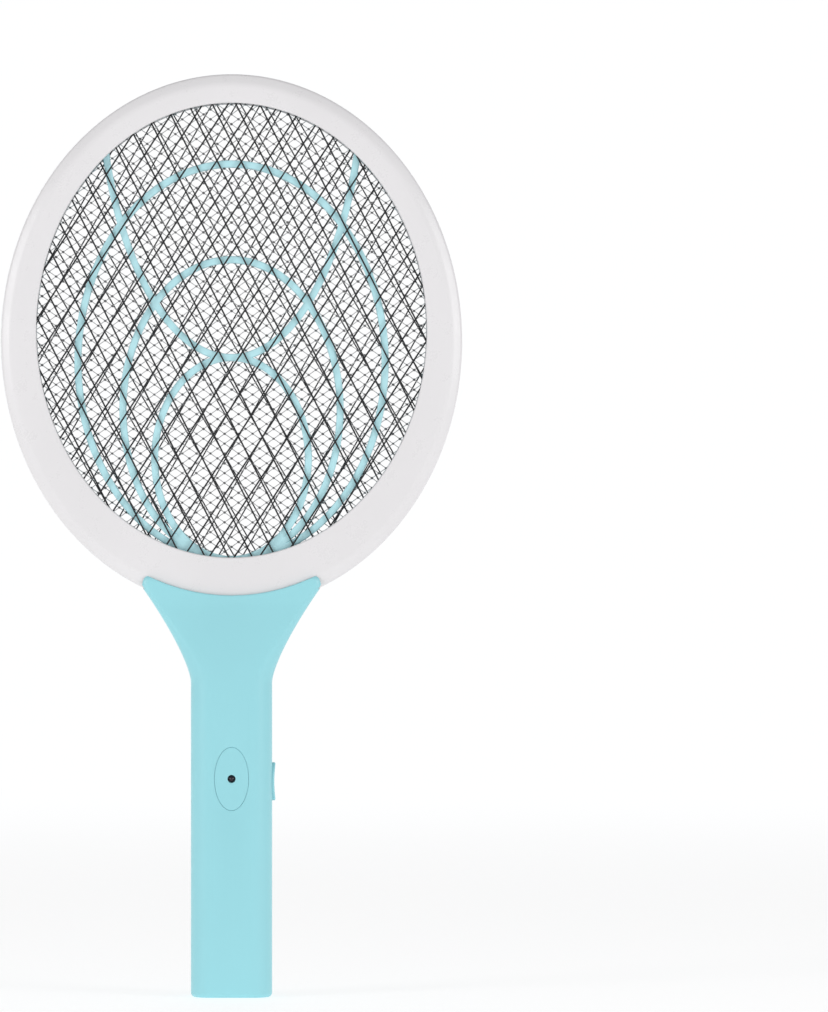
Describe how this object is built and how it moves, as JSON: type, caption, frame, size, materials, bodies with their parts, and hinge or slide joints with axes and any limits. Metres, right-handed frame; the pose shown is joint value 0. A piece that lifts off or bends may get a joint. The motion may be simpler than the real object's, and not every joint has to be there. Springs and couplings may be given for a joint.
{
  "type": "electric fly swatter",
  "caption": "Racket-shaped electric fly swatter: oval ring with layered wire grids over curved ribs, flat rounded handle with side push-button and sliding battery door.",
  "frame": {"origin": "middle of the handle's flat end face, which it stands on", "axes": "+Z along the handle to the head, +Y from the front face to the back, +X to the push-button side"},
  "size_m": [0.21, 0.025, 0.42],
  "materials": {
    "white_plastic": "satin moulded ABS, off-white",
    "aqua_plastic": "satin moulded ABS, pale aqua blue",
    "black_wire": "black-coated steel wire, semi-gloss",
    "silver_wire": "bright tinned steel wire",
    "spring_steel": "nickel-plated spring steel",
    "screw_steel": "zinc-plated steel",
    "led_lens": "dark tinted epoxy lens",
    "black_resin": "black moulding resin",
    "board_resin": "phenolic paper board",
    "ferrite": "dull grey-black ferrite",
    "copper": "enamelled copper winding",
    "film_red": "dipped epoxy, brick red",
    "ceramic_blue": "dipped coating, blue",
    "resistor_body": "lacquered ceramic, beige",
    "cell_jacket": "printed plastic sleeve, dark green",
    "red_sleeve": "PVC insulation, red",
    "black_sleeve": "PVC insulation, black"
  },
  "bodies": {
    "swatter": {"front_ring": "white_plastic", "rear_ring": "white_plastic", "front_grid": "black_wire", "rear_grid": "black_wire", "centre_grid": "silver_wire", "front_rib_frame": "aqua_plastic", "rear_rib_frame": "aqua_plastic", "front_shell": "aqua_plastic", "rear_shell": "aqua_plastic", "indicator_plate": "aqua_plastic", "indicator_led": "led_lens", "led_leg_left": "spring_steel", "led_leg_right": "spring_steel", "upper_screw_left": "screw_steel", "upper_screw_right": "screw_steel", "lower_screw_left": "screw_steel", "lower_screw_right": "screw_steel", "switch_housing": "black_resin", "circuit_board": "board_resin", "transformer_core": "ferrite", "transformer_coil": "copper", "storage_capacitor": "film_red", "rectifier_diode_1": "black_resin", "rectifier_diode_2": "black_resin", "rectifier_diode_3": "black_resin", "bleed_resistor": "resistor_body", "led_resistor": "resistor_body", "disc_capacitor": "ceramic_blue", "oscillator_transistor": "black_resin", "cell_left": "cell_jacket", "cell_right": "cell_jacket", "contact_spring_left": "spring_steel", "contact_spring_right": "spring_steel", "link_contact": "spring_steel", "positive_contact": "spring_steel", "negative_contact": "spring_steel", "battery_lead_red": "red_sleeve", "battery_lead_black": "black_sleeve", "centre_grid_lead": "red_sleeve", "front_grid_lead": "black_sleeve", "rear_grid_lead": "black_sleeve"},
    "button": {"power_button": "aqua_plastic", "switch_plunger": "white_plastic"},
    "door": {"battery_door": "aqua_plastic"}
  },
  "joints": [
    {"name": "button_press", "type": "slide", "parent": "swatter", "child": "button", "axis": [-1, 0, 0], "range_m": [0, 0.0012], "stiffness_N_per_m": 500, "springref_m": -0.0004},
    {"name": "battery_door_slide", "type": "slide", "parent": "swatter", "child": "door", "axis": [0, 0, -1], "range_m": [0, 0.0915]}
  ]
}
